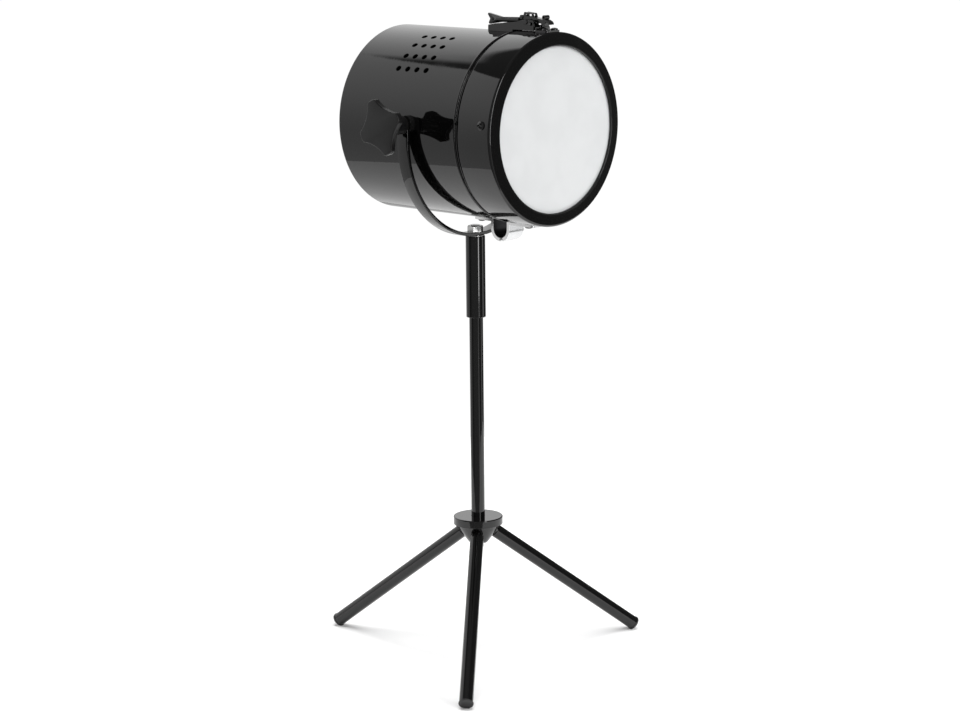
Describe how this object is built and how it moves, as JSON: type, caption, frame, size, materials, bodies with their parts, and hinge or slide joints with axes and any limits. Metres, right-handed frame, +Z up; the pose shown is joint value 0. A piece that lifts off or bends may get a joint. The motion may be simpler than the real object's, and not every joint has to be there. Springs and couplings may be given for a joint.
{
  "type": "tabletop searchlight lamp",
  "caption": "Table lamp shaped like a small searchlight: drum head with a hinged, latched front glass, in a swivelling yoke on a post with splayed tube legs.",
  "frame": {"origin": "on the floor plane, at the middle of the lamp's bounding box", "axes": "+Z up along the post, -Y the way the light leaves, +X to the right of a person who stands in front of the lamp and looks at it"},
  "size_m": [0.2955, 0.28, 0.6059],
  "materials": {
    "black_enamel": "gloss black enamel",
    "black_hardware": "semi-gloss black",
    "knob_plastic": "moulded black",
    "foot_plastic": "moulded black",
    "gland_plastic": "moulded black",
    "frosted_glass": "frosted",
    "lamp_glass": "pearl",
    "porcelain": "glazed",
    "brass": "formed sheet",
    "nickelled_cap": "bright",
    "chrome": "polished",
    "plated_steel": "zinc plated"
  },
  "bodies": {
    "stand": {"hub": "black_enamel", "hub_bolt": "plated_steel", "hub_washer": "plated_steel", "post_tube": "black_enamel", "post_insert": "plated_steel", "sleeve": "black_enamel", "sleeve_plug": "plated_steel", "swivel_stud": "plated_steel", "swivel_washer": "plated_steel", "swivel_nut": "plated_steel", "leg_1": "black_enamel", "leg_2": "black_enamel", "leg_3": "black_enamel", "leg_insert_1": "plated_steel", "leg_insert_2": "plated_steel", "leg_insert_3": "plated_steel", "leg_stud_1": "plated_steel", "leg_stud_2": "plated_steel", "leg_stud_3": "plated_steel", "foot_cap_1": "foot_plastic", "foot_cap_2": "foot_plastic", "foot_cap_3": "foot_plastic"},
    "yoke": {"yoke_strap": "black_enamel"},
    "head": {"drum": "black_enamel", "front_collar": "black_enamel", "rear_cover": "black_enamel", "rear_cover_screws": "plated_steel", "holder_bracket": "plated_steel", "bracket_screws": "plated_steel", "lampholder": "porcelain", "holder_nipple": "plated_steel", "screw_shell": "brass", "bulb_cap": "nickelled_cap", "bulb_glass": "lamp_glass", "cable_gland": "gland_plastic", "trunnion_nut_left": "plated_steel", "trunnion_nut_right": "plated_steel", "trunnion_spacer_left": "black_hardware", "trunnion_spacer_right": "black_hardware", "hinge_leaf_drum": "chrome", "hinge_pin": "plated_steel", "hinge_screws_drum": "plated_steel", "latch_base": "black_hardware", "latch_rivets": "plated_steel", "latch_pivot_pin": "plated_steel"},
    "left_knob": {"knob_left": "knob_plastic", "knob_stud_left": "plated_steel"},
    "right_knob": {"knob_right": "knob_plastic", "knob_stud_right": "plated_steel"},
    "door": {"bezel": "black_enamel", "diffuser": "frosted_glass", "retaining_ring": "black_enamel", "bezel_screws": "black_hardware", "keeper": "black_hardware", "keeper_screws": "plated_steel", "hinge_leaf_door": "chrome", "hinge_screws_door": "plated_steel"},
    "lever": {"latch_lever": "black_hardware", "claw_pin": "plated_steel"},
    "claw": {"latch_claw": "black_hardware"}
  },
  "joints": [
    {"name": "swivel", "type": "hinge", "parent": "stand", "child": "yoke", "pos_m": [-0.0127, -0.0291, 0.403], "axis": [0, 0, 1], "continuous": true},
    {"name": "head_tilt", "type": "hinge", "parent": "yoke", "child": "head", "pos_m": [-0.0127, -0.0291, 0.5103], "axis": [1, 0, 0], "range_deg": [-20, 10]},
    {"name": "left_knob_turn", "type": "hinge", "parent": "head", "child": "left_knob", "pos_m": [-0.0127, -0.0291, 0.5103], "axis": [1, 0, 0], "continuous": true},
    {"name": "right_knob_turn", "type": "hinge", "parent": "head", "child": "right_knob", "pos_m": [-0.0127, -0.0291, 0.5103], "axis": [1, 0, 0], "continuous": true},
    {"name": "door_hinge", "type": "hinge", "parent": "head", "child": "door", "pos_m": [-0.0127, -0.0695, 0.4014], "axis": [1, 0, 0], "range_deg": [0, 100]},
    {"name": "latch_lever_turn", "type": "hinge", "parent": "head", "child": "lever", "pos_m": [-0.0127, -0.0991, 0.5989], "axis": [1, 0, 0], "range_deg": [0, 100]},
    {"name": "latch_claw_turn", "type": "hinge", "parent": "lever", "child": "claw", "pos_m": [-0.0127, -0.0911, 0.6025], "axis": [1, 0, 0], "range_deg": [-100, 0]}
  ],
  "couplings": [
    {"joint": "latch_claw_turn", "follows": "latch_lever_turn", "ratio": -1}
  ]
}
